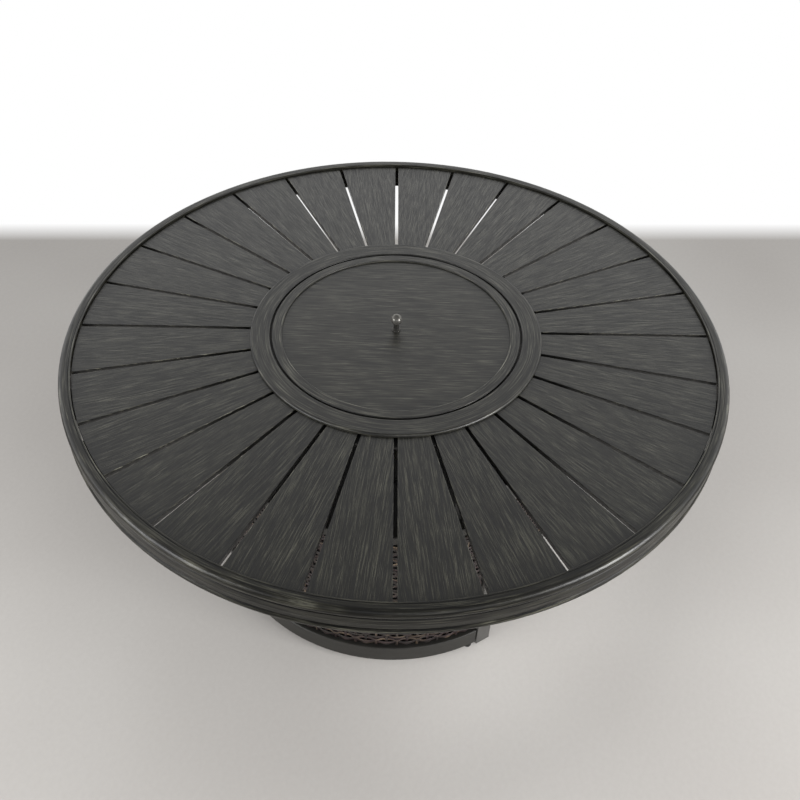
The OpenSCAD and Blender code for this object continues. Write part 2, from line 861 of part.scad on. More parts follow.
// Section of a channel that opens inwards, with eased outer corners
module channel_section(z0, height) {
  ease = 1.5;
  polygon([[rail_inner_r, z0], [base_r - ease, z0], [base_r, z0 + ease],
           [base_r, z0 + height - ease], [base_r - ease, z0 + height], [rail_inner_r, z0 + height],
           [rail_inner_r, z0 + height - rail_wall], [base_r - rail_wall, z0 + height - rail_wall],
           [base_r - rail_wall, z0 + rail_wall], [rail_inner_r, z0 + rail_wall]]);
}

module bottom_ring() {
  color(ring_grey)
    open_ring(ring_end_angle) channel_section(floor_gap, bottom_ring_h);
}

module top_rail() {
  color(ring_grey)
    open_ring(ring_end_angle) channel_section(rail_bottom, top_rail_h);
}

// Height of the weave's slope at the top and the bottom of a row
weave_slope = 3.5;

// Section of the wicker, height h from y = 0 up: the back is flat and each row of the weave swells
// out to x = wicker_t
module weave_section(h) {
  rows = round(h / weave_row);
  row_h = h / rows;
  polygon(concat(
    [[0, 0]],
    [for (row = [0 : rows - 1], p = [[0, 0], [weave_relief, weave_slope], [weave_relief, row_h - weave_slope]])
      [wicker_t - weave_relief + p[0], row * row_h + p[1]]],
    [[wicker_t - weave_relief, h], [0, h]]));
}

module wicker_shell() {
  color(wicker_brown)
    open_ring(ring_end_angle)
      translate([wicker_inner_r, ring_top])
        weave_section(rail_bottom - ring_top);
}

module legs() {
  color(soot_black)
    for (a = leg_angles)
      at_angle(a)
        translate([leg_center_r, 0, 0])
          square_tube(leg_side, leg_side, plate_top, spoke_bottom, tube_wall);
}

// A jamb's block, grown by a clearance for the slot it stands in
module jamb_block(side, grow, z0, z1) {
  at_angle(side * jamb_angle)
    translate([base_r - jamb_t - grow, -jamb_w / 2 - grow, z0])
      cube([jamb_t + 2 * grow, jamb_w + 2 * grow, z1 - z0]);
}

jamb_bottom = 3;

module door_jambs() {
  color(jamb_grey)
    for (side = [-1, 1])
      jamb_block(side, 0, jamb_bottom, crossbar_bottom);
}

// Base plate with vent holes and a low collar that holds the cylinder's foot in place
cylinder_foot_r = 103;
foot_collar_h = 6;
foot_collar_t = 3;
vent_count = 6;
vent_r = 20;
vent_circle_r = 200;

module base_plate() {
  color(soot_black)
    difference() {
      union() {
        intersection() {
          translate([0, 0, plate_bottom])
            cylinder(r = base_r - rail_wall - touch, h = plate_t, $fn = fine);
          translate([-base_r, door_face, 0])
            cube([2 * base_r, base_r - door_face, plate_top + 1]);
        }
        translate([0, 0, plate_top - eps])
          difference() {
            cylinder(r = cylinder_foot_r + foot_collar_t, h = foot_collar_h, $fn = fine);
            translate([0, 0, -1])
              cylinder(r = cylinder_foot_r, h = foot_collar_h + 2, $fn = fine);
          }
      }
      for (side = [-1, 1])
        jamb_block(side, touch, 0, plate_top + 1);
      for (i = [0 : vent_count - 1])
        rotate([0, 0, (i + 0.5) * 360 / vent_count])
          translate([vent_circle_r, 0, plate_bottom - 1])
            cylinder(r = vent_r, h = plate_t + 2, $fn = round_fn);
    }
}

glide_circle_r = base_r - rail_depth / 2;
// The glides between the two end ones stand farther in, where the ring hides them from above
hidden_glide_circle_r = rail_inner_r + glide_r * 0.7;
glide_end_angle = 0.2;
first_glide_angle = ring_end_angle + asin(glide_r / glide_circle_r) + glide_end_angle;
glide_count = 7;

module glides() {
  span = 360 - 2 * first_glide_angle;
  color(rubber_black)
    for (i = [0 : glide_count - 1])
      at_angle(first_glide_angle + i * span / (glide_count - 1))
        translate([i == 0 || i == glide_count - 1 ? glide_circle_r : hidden_glide_circle_r, 0, 0])
          cylinder(r = glide_r, h = floor_gap, $fn = small_fn);
}

// Door and hinges: the hinge axis stands in front of the door at the right-hand jamb

hinge_behind_middle = 2.3;
knuckle_jamb_gap = 0.2;
knuckle_door_gap = 1;
hinge_radial = base_r - jamb_t / 2 - hinge_behind_middle;
hinge_side = -(jamb_w / 2 + knuckle_r + knuckle_jamb_gap);
hinge_azimuth = front + jamb_angle;
hinge_x = hinge_radial * cos(hinge_azimuth) - hinge_side * sin(hinge_azimuth);
hinge_y = hinge_radial * sin(hinge_azimuth) + hinge_side * cos(hinge_azimuth);
door_face = hinge_y + knuckle_r + knuckle_door_gap;
door_right = hinge_x - knuckle_door_gap;
door_left = -jamb_inner_x + door_gap - knuckle_door_gap;
door_bottom = plate_top + door_gap;
door_top = drum_top - door_gap;
leaf_t = 2;
leaf_w = 16;
leaf_front = 1;
leaf_l = 3 * knuckle_l + 2 * running;
hinge_from_end = 60;
hinge_levels = [door_bottom + hinge_from_end, door_top - hinge_from_end - leaf_l];

// Each pin is one piece with the knuckles of the jamb's leaf
module hinge_leaves() {
  head_r = knuckle_r - 0.5;
  head_h = 2;
  color(steel)
    at_angle(jamb_angle)
      for (z0 = hinge_levels) {
        for (n = [0, 2])
          translate([0, 0, z0 + n * (knuckle_l + running)]) {
            translate([hinge_radial, hinge_side, 0])
              cylinder(r = knuckle_r, h = knuckle_l, $fn = small_fn);
            translate([hinge_radial - knuckle_r - leaf_front, -jamb_w / 2 - leaf_t, 0])
              cube([leaf_w, leaf_t, knuckle_l]);
          }
        translate([hinge_radial, hinge_side, z0 + knuckle_l / 2]) {
          cylinder(r = pin_r, h = leaf_l - knuckle_l, $fn = small_fn);
          translate([0, 0, leaf_l - knuckle_l])
            cylinder(r = head_r, h = knuckle_l / 2 + head_h, $fn = small_fn);
        }
      }
}

module door_frame() {
  width = door_right - door_left;
  height = door_top - door_bottom;
  color(charcoal_light)
    difference() {
      union() {
        difference() {
          translate([door_left, door_face, door_bottom])
            cube([width, door_t, height]);
          translate([door_left + stile_w, door_face - 1, door_bottom + stile_w])
            cube([width - 2 * stile_w, door_t + 2, height - 2 * stile_w]);
        }
        for (z0 = hinge_levels) {
          translate([hinge_x, hinge_y, z0 + knuckle_l + running])
            cylinder(r = knuckle_r, h = knuckle_l, $fn = small_fn);
          translate([hinge_x - stile_w, door_face - leaf_t, z0 + knuckle_l + running])
            cube([stile_w, leaf_t + eps, knuckle_l]);
        }
      }
      for (z0 = hinge_levels)
        translate([hinge_x, hinge_y, z0 - 1])
          cylinder(r = pin_r + running, h = leaf_l + 2, $fn = small_fn);
    }
}

module door_wicker() {
  panel_w = door_right - door_left - 2 * stile_w;
  color(wicker_brown)
    translate([door_left + stile_w, door_face + (door_t + wicker_t) / 2, door_bottom + stile_w])
      rotate([0, 0, -90])
        rotate([90, 0, 0])
          mirror([0, 0, 1])
            linear_extrude(panel_w)
              weave_section(door_top - door_bottom - 2 * stile_w);
}

pull_x = door_left + stile_w / 2;
pull_z = (door_bottom + door_top) / 2;
pull_post_inset = 12;
pull_post_r = pull_r - 1;

module door_pull() {
  color(steel) {
    for (side = [-1, 1])
      along_y(pull_x, door_face - pull_reach + pull_r, pull_z + side * (pull_l / 2 - pull_post_inset))
        cylinder(r = pull_post_r, h = pull_reach - pull_r, $fn = small_fn);
    translate([pull_x, door_face - pull_reach + pull_r, pull_z - pull_l / 2])
      cylinder(r = pull_r, h = pull_l, $fn = small_fn);
  }
}

// Magnet catch on the base plate, behind the free lower corner of the door
strike_t = 1.5;
strike_h = 14;
strike_w = 36;
strike_lift = 1;
catch_from_edge = 12;
catch_x = door_left + catch_from_edge;
door_back = door_face + door_t;
catch_depth = 12;

module strike_plate() {
  color(steel)
    translate([catch_x, door_back, door_bottom + strike_lift])
      cube([strike_w, strike_t, strike_h]);
}

module magnet_catch() {
  color(rubber_black)
    translate([catch_x, door_back + strike_t + touch, plate_top])
      cube([strike_w, catch_depth, door_gap + strike_h]);
}

for (k = [1 : slat_count])
  slat(k);
outer_rim();
surround_ring();
top_frame();
slat_screws();
lid_plate();
lid_band();
lid_knob();
fire_bowl();
burner_ring();
lava_rocks();
igniter_electrode();
gas_line();
gas_valve();
stem_collar();
valve_stem();
gas_knob();
control_plate();
igniter_module();
igniter_button();
bottom_ring();
wicker_shell();
top_rail();
legs();
base_plate();
glides();
door_jambs();
hinge_leaves();
door_frame();
door_wicker();
door_pull();
strike_plate();
magnet_catch();
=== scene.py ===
"""Looks of the round gas fire pit table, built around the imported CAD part. Metres."""

import math
import random

import bmesh
import bpy
from mathutils import Matrix, Vector, noise


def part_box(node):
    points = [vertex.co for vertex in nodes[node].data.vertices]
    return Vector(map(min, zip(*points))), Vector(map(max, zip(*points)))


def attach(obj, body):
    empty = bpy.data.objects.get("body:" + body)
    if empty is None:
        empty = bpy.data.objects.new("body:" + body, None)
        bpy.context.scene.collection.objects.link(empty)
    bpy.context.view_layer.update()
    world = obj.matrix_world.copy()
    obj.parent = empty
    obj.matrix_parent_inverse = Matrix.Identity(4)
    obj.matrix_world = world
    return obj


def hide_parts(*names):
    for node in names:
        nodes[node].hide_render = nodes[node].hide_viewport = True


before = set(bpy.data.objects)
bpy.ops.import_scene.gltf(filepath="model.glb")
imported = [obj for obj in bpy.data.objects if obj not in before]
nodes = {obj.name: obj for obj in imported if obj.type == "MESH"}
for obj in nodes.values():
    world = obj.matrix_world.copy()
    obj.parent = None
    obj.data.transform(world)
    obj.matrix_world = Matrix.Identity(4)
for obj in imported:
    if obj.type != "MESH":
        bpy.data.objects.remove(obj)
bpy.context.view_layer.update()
scene = bpy.context.scene

# The table, as part.scad has it. The door side faces FRONT
SLATS = 28
PITCH = 2 * math.pi / SLATS
FRONT = -math.pi / 2
SLAT_IN_R, SLAT_OUT_R = 0.286, 0.6605
SLAT_BOTTOM, SLAT_TOP = 0.629, 0.639
SLAT_GAP = 0.0075
LID_TOP = 0.641
BALL_R = 0.012
KNOB_HEIGHT = 0.041
NECK_R = 0.0058
BASE_R = 0.420
JAMB_ANGLE = math.radians(27)
JAMB_DEPTH, JAMB_WIDTH = 0.020, 0.037
WICKER_R = 0.4095
WICKER_OPENING = math.radians(30.13)
LID_GRAIN = math.radians(-59.26)

# The camera, fitted to the photograph. The focal length is in pixels of its 800 pixel frame
CAMERA_SPOT = (-1.2190, -0.7401, 1.861)
CAMERA_WAY = (0.8595, 0.5112, 0)
CAMERA_PITCH = math.radians(-45.05)
CAMERA_ROLL = math.radians(1.958)
FOCAL_PIXELS = 887.06
FRAME_PIXELS = 800
SENSOR_MM = 36

# Level ways from the table: to the backdrop, and to the photograph's right
BACKDROP_WAY = (0.8276, 0.5613, 0)
PHOTO_RIGHT = (0.5613, -0.8276, 0)

# Places where the finishes paint shade and highlights: how far a slat's side lies from the line between two
# slats, heights and radii on the rim, radii in the gap round the lid and on its band, and the drum's ledge
SLAT_EDGE = 0.0038
RIM_GROOVES = (0.6255, 0.5965)
RIM_UPPER_HIGHLIGHT, RIM_LOWER_HIGHLIGHT = 0.6300, 0.5925
RIM_INNER_R, RIM_LINE_R = 0.6632, 0.6659
LID_GAP_R = 0.26275
BAND_EDGE_R = 0.2412
LEDGE_TOP = 0.065

# Where the floor turns white, along BACKDROP_WAY
FADE_START, FADE_END = 1.245, 1.350
FLOOR_HALF = 8.0
WORLD_LIGHT = 0.70

# The weave: stakes, with a wider one at each end, and rows of two strands.
# SPREAD is half the distance between a row's two strands, and SWAY is how much it comes and goes.
# BOW is how far a row bows round the stakes, and LAP how far its two strands lie behind each other.
# A row has PER_SPACE steps from stake to stake, and a stake STAKE_SPANS from end to end
WEAVE_STAKE = 0.02295
WEAVE_ROW = 0.0187
WEAVE_SPREAD = 0.0036
WEAVE_SWAY = 0.0015
WEAVE_BOW = 0.0021
WEAVE_LAP = 0.0009
WEAVE_MARGIN = 0.0005
STAKE_HALF = (0.003, 0.0010)
END_STAKE_HALF = (0.004, 0.0024)
STRAND_HALF = (0.0039, 0.0014)
PER_SPACE = 8
STAKE_SPANS = 8

# Up to these angles in degrees a piece is shaded smooth. A slat's eased edge meets its top face at
# 22.5 degrees, and shaded smooth it would tilt the shading of the whole face
SMOOTH, SLAT_SMOOTH, ROCK_SMOOTH, STRAND_SMOOTH = 35, 20, 50, 60


# Camera, at the photograph's viewing angle

def make_camera():
    level = Vector(CAMERA_WAY).normalized()
    forward = level * math.cos(CAMERA_PITCH) + Vector((0, 0, math.sin(CAMERA_PITCH)))
    right = Vector((level.y, -level.x, 0))
    up = right.cross(forward)
    x_axis = right * math.cos(CAMERA_ROLL) + up * math.sin(CAMERA_ROLL)
    y_axis = up * math.cos(CAMERA_ROLL) - right * math.sin(CAMERA_ROLL)
    turn = Matrix((x_axis, y_axis, -forward)).transposed().to_4x4()
    data = bpy.data.cameras.new("camera")
    data.sensor_width = SENSOR_MM
    data.lens = FOCAL_PIXELS / FRAME_PIXELS * SENSOR_MM
    camera = bpy.data.objects.new("camera", data)
    camera.matrix_world = Matrix.Translation(CAMERA_SPOT) @ turn
    scene.collection.objects.link(camera)
    scene.camera = camera


make_camera()


# Node helpers

def linear(r, g, b):
    """An sRGB colour, written 0 to 255, as linear values."""
    out = []
    for v in (r, g, b):
        v /= 255
        out.append(v / 12.92 if v <= 0.04045 else ((v + 0.055) / 1.055) ** 2.4)
    return (*out, 1.0)


def put(tree, kind, inputs=None, **props):
    """A new node. A socket among the inputs is linked, and anything else is set."""
    node = tree.nodes.new(kind)
    for name, value in props.items():
        setattr(node, name, value)
    for name, value in (inputs or {}).items():
        if isinstance(value, bpy.types.NodeSocket):
            tree.links.new(value, node.inputs[name])
        else:
            node.inputs[name].default_value = value
    return node


def calc(tree, operation, a, b=0.0, c=0.0):
    """One step of arithmetic, on sockets or numbers."""
    return put(tree, "ShaderNodeMath", {0: a, 1: b, 2: c}, operation=operation).outputs[0]


def remap(tree, value, lo, hi, to_lo, to_hi, smooth=False):
    """A value moved from one range to another, and kept inside it."""
    node = put(tree, "ShaderNodeMapRange",
               {"Value": value, "From Min": lo, "From Max": hi, "To Min": to_lo, "To Max": to_hi})
    if smooth:
        node.interpolation_type = "SMOOTHSTEP"
    return node.outputs[0]


def band(tree, value, middle, half, soft):
    """1 within half of the middle, and 0 beyond a soft edge."""
    away = calc(tree, "ABSOLUTE", calc(tree, "SUBTRACT", value, middle))
    return remap(tree, away, half, half + soft, 1.0, 0.0, True)


def noise_of(tree, vector, scale=1.0, detail=3.0, rough=0.55, distort=0.0):
    node = put(tree, "ShaderNodeTexNoise",
               {"Vector": vector, "Scale": scale, "Detail": detail, "Roughness": rough,
                "Distortion": distort})
    return node.outputs["Fac"]


def ramp(tree, value, stops):
    """A colour ramp. Each stop is a place from 0 to 1 and a colour."""
    node = put(tree, "ShaderNodeValToRGB", {"Fac": value})
    elements = node.color_ramp.elements
    while len(elements) > 1:
        elements.remove(elements[-1])
    elements[0].position, elements[0].color = stops[0]
    for stop, colour in stops[1:]:
        elements.new(stop).color = colour
    return node.outputs["Color"]


def two_tone(tree, value, dark, light):
    """A ramp between two sRGB colours over a noise's usual range."""
    return ramp(tree, value, [(0.3, linear(*dark)), (0.7, linear(*light))])


def mixed(tree, share, first, second):
    """Two colours mixed: all first where share is 0."""
    node = put(tree, "ShaderNodeMix", {0: share}, data_type="RGBA")
    tree.links.new(first, node.inputs[6])
    tree.links.new(second, node.inputs[7])
    return node.outputs[2]


def tinted(tree, colour, value):
    """A colour made brighter or darker by a value near 1."""
    return put(tree, "ShaderNodeVectorMath", {0: colour, "Scale": value}, operation="SCALE").outputs[0]


def scaled(tree, vector, x, y, z):
    return put(tree, "ShaderNodeVectorMath", {0: vector, 1: (x, y, z)}, operation="MULTIPLY").outputs[0]


def place(tree):
    """The point in the piece's own metres, which are the table's for all but the slats."""
    return put(tree, "ShaderNodeTexCoord").outputs["Object"]


def from_middle(tree):
    """Distance from the table's middle line."""
    flat = scaled(tree, place(tree), 1, 1, 0)
    return put(tree, "ShaderNodeVectorMath", {0: flat}, operation="LENGTH").outputs["Value"]


def height_of(tree):
    """Height above the floor."""
    return put(tree, "ShaderNodeSeparateXYZ", {0: place(tree)}).outputs["Z"]


def along_way(tree, vector, way):
    """How far a point lies along a way."""
    return put(tree, "ShaderNodeVectorMath", {0: vector, 1: way}, operation="DOT_PRODUCT").outputs["Value"]


def round_place(tree, along, across):
    """Coordinates that run round the table: strokes go along the circle, with no seam.
    Height counts as distance outwards, so that a side wall has strokes too."""
    xyz = put(tree, "ShaderNodeSeparateXYZ", {0: place(tree)})
    flat = put(tree, "ShaderNodeCombineXYZ", {"X": xyz.outputs["X"], "Y": xyz.outputs["Y"]}).outputs[0]
    radius = put(tree, "ShaderNodeVectorMath", {0: flat}, operation="LENGTH").outputs["Value"]
    unit = put(tree, "ShaderNodeVectorMath", {0: flat}, operation="NORMALIZE").outputs[0]
    unit = put(tree, "ShaderNodeSeparateXYZ", {0: unit})
    outwards = calc(tree, "MULTIPLY_ADD", xyz.outputs["Z"], 1.27, radius)
    return put(tree, "ShaderNodeCombineXYZ",
               {"X": calc(tree, "MULTIPLY", unit.outputs["X"], along),
                "Y": calc(tree, "MULTIPLY", unit.outputs["Y"], along),
                "Z": calc(tree, "MULTIPLY", outwards, across)}).outputs[0]


def material(name, shade):
    """A material whose surface is one Principled shader. shade(tree, shader) sets it up."""
    made = bpy.data.materials.new(name)
    made.use_nodes = True
    tree = made.node_tree
    tree.nodes.clear()
    shader = put(tree, "ShaderNodeBsdfPrincipled")
    out = put(tree, "ShaderNodeOutputMaterial")
    tree.links.new(shader.outputs[0], out.inputs["Surface"])
    shade(tree, shader)
    return made


def feed(tree, shader, colour, rough, height, strength, distance):
    """Links a shader's colour and roughness, and a bump of the given strength and depth."""
    tree.links.new(colour, shader.inputs["Base Color"])
    tree.links.new(rough, shader.inputs["Roughness"])
    bump = put(tree, "ShaderNodeBump", {"Height": height, "Strength": strength, "Distance": distance})
    tree.links.new(bump.outputs[0], shader.inputs["Normal"])


def grain(tree, vector):
    """Brushed wood-grain strokes, long and fine as one value, and the soft patches among them."""
    long = noise_of(tree, vector, 1.0, 3.0, 0.58, 0.05)
    fine = noise_of(tree, scaled(tree, vector, 1.9, 1.45, 1.45), 1.0, 2.0, 0.6)
    patch = noise_of(tree, scaled(tree, vector, 0.80, 0.06, 0.06), 1.0, 2.0, 0.5)
    mix = calc(tree, "MULTIPLY_ADD", fine, 0.42, calc(tree, "MULTIPLY", long, 0.58))
    return mix, patch


GRAIN_STOPS = [(0.39, linear(6, 6, 4)), (0.445, linear(17, 16, 13)), (0.50, linear(31, 30, 25)),
               (0.555, linear(52, 51, 44)), (0.61, linear(85, 84, 74))]


def brushed(tree, shader, vector, level, tone, rough, depth=0.5, contrast=1.0):
    """The hand-brushed grey finish. level sets its brightness, and tone how that varies."""
    shader.inputs["Specular IOR Level"].default_value = 1.0
    mix, patch = grain(tree, vector)
    mix = remap(tree, mix, 0.0, 1.0, 0.5 - contrast / 2, 0.5 + contrast / 2)
    colour = ramp(tree, mix, GRAIN_STOPS)
    tone = calc(tree, "MULTIPLY", remap(tree, patch, 0.3, 0.7, 0.80 * level, 1.20 * level), tone)
    feed(tree, shader, tinted(tree, colour, tone),
         remap(tree, mix, 0.35, 0.65, rough + 0.12, rough - 0.12), mix, depth, 0.0005)


def shade_slat(tree, shader):
    """A slat runs along X from the middle. Its strokes are its own, and painted shade darkens it to its
    edges.
    """
    spot = place(tree)
    info = put(tree, "ShaderNodeObjectInfo")
    shift = calc(tree, "MULTIPLY", info.outputs["Random"], 40.0)
    vector = put(tree, "ShaderNodeVectorMath", {0: scaled(tree, spot, 16.0, 700.0, 120.0), 1: shift},
                 operation="ADD").outputs[0]
    xyz = put(tree, "ShaderNodeSeparateXYZ", {0: spot})
    half_width = calc(tree, "MULTIPLY_ADD", xyz.outputs["X"], math.tan(PITCH / 2), -SLAT_EDGE)
    from_side = calc(tree, "SUBTRACT", half_width, calc(tree, "ABSOLUTE", xyz.outputs["Y"]))
    # Painted shade darkens it along the sides and at both ends, and each slat has its own level
    side = remap(tree, from_side, 0.0, 0.014, 0.74, 1.0, True)
    end = calc(tree, "MULTIPLY", remap(tree, xyz.outputs["X"], 0.610, 0.656, 1.0, 0.74, True),
               remap(tree, xyz.outputs["X"], 0.655, 0.660, 1.0, 0.7, True))
    start = remap(tree, xyz.outputs["X"], 0.306, 0.330, 0.80, 1.0, True)
    own = remap(tree, info.outputs["Random"], 0.0, 1.0, 0.92, 1.08)
    # The rounded top edges get a painted highlight, each by its own amount
    painted_highlight = calc(tree, "MULTIPLY", remap(tree, from_side, 0.0004, 0.0020, 1.0, 0.0, True),
                  remap(tree, xyz.outputs["Z"], 0.6370, 0.6379, 0.0, 1.0, True))
    seed = calc(tree, "MULTIPLY_ADD", calc(tree, "SIGN", xyz.outputs["Y"]), 5.3,
                calc(tree, "MULTIPLY", info.outputs["Random"], 31.7))
    amount = noise_of(tree, put(tree, "ShaderNodeCombineXYZ", {"X": seed}).outputs[0], 1.0, 0.0)
    painted_highlight = calc(tree, "MULTIPLY", painted_highlight, remap(tree, amount, 0.42, 0.62, 0.2, 3.4))
    edge = calc(tree, "MULTIPLY", calc(tree, "MULTIPLY", side, end), calc(tree, "MULTIPLY", start, own))
    edge = calc(tree, "MULTIPLY", edge, calc(tree, "ADD", painted_highlight, 1.0))
    # Painted shade darkens the side walls in the gaps
    wall = calc(tree, "MAXIMUM", remap(tree, xyz.outputs["Z"], 0.6376, 0.6384, 0.25, 1.0, True),
                remap(tree, from_side, 0.0004, 0.0010, 0.0, 1.0, True))
    edge = calc(tree, "MULTIPLY", edge, wall)
    brushed(tree, shader, vector, 0.80, edge, rough=0.38, contrast=1.25)


def shade_rim(tree, shader):
    """The outer rim, brushed along the circle."""
    height = height_of(tree)
    radius = from_middle(tree)
    # Painted shade darkens the grooves and a fine line on the top, and painted highlights lighten the edges
    # beside the grooves and the top's inner edge
    grooves = calc(tree, "MAXIMUM", *(band(tree, height, z, 0.0012, 0.0012) for z in RIM_GROOVES))
    line = band(tree, radius, RIM_LINE_R, 0.0004, 0.0010)
    painted_highlight = calc(tree, "MAXIMUM", band(tree, height, RIM_UPPER_HIGHLIGHT, 0.0006, 0.0018),
                  band(tree, height, RIM_LOWER_HIGHLIGHT, 0.0010, 0.0020))
    inner = band(tree, radius, RIM_INNER_R, 0.0004, 0.0010)
    light = calc(tree, "MULTIPLY_ADD", painted_highlight, 0.8, calc(tree, "MULTIPLY_ADD", inner, 0.9, 1.0))
    dark = calc(tree, "MULTIPLY_ADD", calc(tree, "MAXIMUM", grooves, line), -0.72, 1.0)
    # Painted shade makes the side darker than the top, and it is duller too
    side = remap(tree, height, 0.628, 0.640, 0.70, 1.0, True)
    tone = calc(tree, "MULTIPLY", calc(tree, "MULTIPLY", light, dark), side)
    # The link takes the place of the level that brushed() sets
    shine = remap(tree, height, 0.6405, 0.6425, 0.25, 0.80, True)
    tree.links.new(shine, shader.inputs["Specular IOR Level"])
    brushed(tree, shader, round_place(tree, 7.0, 520.0), 0.96, tone, rough=0.34)


def shade_surround(tree, shader):
    """For the surround ring and the lid's band: painted shade in the gap between them, and a painted
    highlight on the band's inner edge.
    """
    radius = from_middle(tree)
    # Painted shade in the gap round the lid, and a painted highlight on the band's inner edge
    soot_and_shade = calc(tree, "MULTIPLY_ADD", band(tree, radius, LID_GAP_R, 0.0030, 0.0010), -0.7, 1.0)
    painted_highlight = calc(tree, "MULTIPLY_ADD", band(tree, radius, BAND_EDGE_R, 0.0008, 0.0014), 0.8, 1.0)
    tone = calc(tree, "MULTIPLY", soot_and_shade, painted_highlight)
    brushed(tree, shader, round_place(tree, 3.5, 640.0), 1.02, tone, rough=0.42)


def shade_lid(tree, shader):
    """The lid plate, brushed straight across at LID_GRAIN."""
    turned = put(tree, "ShaderNodeVectorRotate",
                 {"Vector": place(tree), "Angle": -LID_GRAIN}, rotation_type="Z_AXIS").outputs[0]
    # Painted shade darkens the plate towards the band
    radius = from_middle(tree)
    painted_band_shade = calc(tree, "MULTIPLY", remap(tree, radius, 0.2365, 0.2397, 1.0, 0.35, True),
                   remap(tree, radius, 0.200, 0.237, 1.0, 0.80, True))
    brushed(tree, shader, scaled(tree, turned, 13.0, 640.0, 640.0), 1.14, painted_band_shade, rough=0.42, depth=0.35,
            contrast=0.8)


def shade_ring(tree, shader):
    """The drum's bottom ring and top rail: smooth dark paint."""
    vector = round_place(tree, 5.0, 60.0)
    mix = noise_of(tree, vector, 1.0, 3.0, 0.5)
    speck = noise_of(tree, place(tree), 900.0, 2.0, 0.5)
    colour = two_tone(tree, mix, (36, 35, 32), (46, 45, 41))
    # Painted shade darkens the ledge in front of the wicker
    height = height_of(tree)
    painted_ledge_shade = calc(tree, "MULTIPLY", band(tree, height, LEDGE_TOP, 0.0006, 0.0006),
                 remap(tree, from_middle(tree), 0.4148, 0.4162, 1.0, 0.0, True))
    colour = tinted(tree, colour, calc(tree, "MULTIPLY_ADD", painted_ledge_shade, -0.45, 1.0))
    feed(tree, shader, colour, remap(tree, speck, 0.3, 0.7, 0.42, 0.56), speck, 0.12, 0.0002)


def powder(dark, light, rough):
    """Powder-coated metal: a fine orange-peel surface with slight patches."""
    def shade(tree, shader):
        spot = place(tree)
        patch = noise_of(tree, spot, 28.0, 3.0, 0.55)
        speck = noise_of(tree, spot, 950.0, 2.0, 0.5)
        colour = two_tone(tree, patch, dark, light)
        feed(tree, shader, colour, remap(tree, speck, 0.3, 0.7, rough - 0.06, rough + 0.06), speck,
             0.15, 0.0003)
    return shade


def bare_metal(dark, light, rough, stretch=(30, 30, 600)):
    """Bare metal with fine drawing lines, close together along the axis of the largest stretch."""
    def shade(tree, shader):
        shader.inputs["Metallic"].default_value = 1.0
        lines = noise_of(tree, scaled(tree, place(tree), *stretch), 1.0, 4.0, 0.6)
        patch = noise_of(tree, place(tree), 22.0, 2.0, 0.5)
        colour = two_tone(tree, patch, dark, light)
        feed(tree, shader, colour, remap(tree, lines, 0.3, 0.7, rough - 0.08, rough + 0.12), lines, 0.1,
             0.0002)
    return shade


def moulded(dark, light, rough):
    """Moulded plastic or rubber with a fine spark-eroded texture."""
    def shade(tree, shader):
        spot = place(tree)
        pebble = put(tree, "ShaderNodeTexVoronoi", {"Vector": spot, "Scale": 1400.0}).outputs["Distance"]
        patch = noise_of(tree, spot, 60.0, 2.0, 0.5)
        colour = two_tone(tree, patch, dark, light)
        feed(tree, shader, colour, remap(tree, pebble, 0.0, 1.0, rough - 0.07, rough + 0.09), pebble,
             0.12, 0.0002)
    return shade


def shade_knob(tree, shader):
    """The lid's knob: dark plated metal, polished by hands."""
    shader.inputs["Metallic"].default_value = 0.55
    lines = noise_of(tree, scaled(tree, place(tree), 60, 60, 900), 1.0, 3.0, 0.6)
    patch = noise_of(tree, place(tree), 160.0, 2.0, 0.5)
    colour = two_tone(tree, patch, (104, 102, 98), (124, 122, 117))
    # The neck and the collar sit in the ball's shade
    height = height_of(tree)
    colour = tinted(tree, colour, remap(tree, height, 0.6575, 0.6615, 0.36, 1.0, True))
    feed(tree, shader, colour, remap(tree, lines, 0.3, 0.7, 0.16, 0.26), lines, 0.05, 0.0001)


def shade_soot(tree, shader):
    """The fire bowl's sooty steel."""
    spot = place(tree)
    soot_and_shade = noise_of(tree, spot, 24.0, 5.0, 0.65, 0.3)
    colour = ramp(tree, soot_and_shade, [(0.3, linear(24, 23, 22)), (0.55, linear(42, 40, 38)),
                               (0.8, linear(66, 62, 57))])
    feed(tree, shader, colour, remap(tree, soot_and_shade, 0.3, 0.8, 0.7, 0.45), soot_and_shade, 0.2, 0.0006)


def shade_lava(tree, shader):
    """Porous red-brown rock."""
    spot = place(tree)
    holes = put(tree, "ShaderNodeTexVoronoi", {"Vector": spot, "Scale": 330.0}).outputs["Distance"]
    body = noise_of(tree, spot, 45.0, 5.0, 0.65)
    colour = ramp(tree, body, [(0.3, linear(38, 32, 30)), (0.5, linear(66, 56, 52)),
                               (0.75, linear(112, 84, 74))])
    pits = remap(tree, holes, 0.0, 0.35, 0.55, 1.0, True)
    feed(tree, shader, tinted(tree, colour, pits), remap(tree, body, 0.3, 0.7, 0.85, 0.97), holes,
         0.8, 0.0015)


def shade_ceramic(tree, shader):
    """The electrode's glazed ceramic."""
    spot = place(tree)
    glaze = noise_of(tree, spot, 120.0, 3.0, 0.5)
    colour = two_tone(tree, glaze, (214, 207, 192), (232, 227, 214))
    feed(tree, shader, colour, remap(tree, glaze, 0.3, 0.7, 0.22, 0.34), glaze, 0.05, 0.0002)


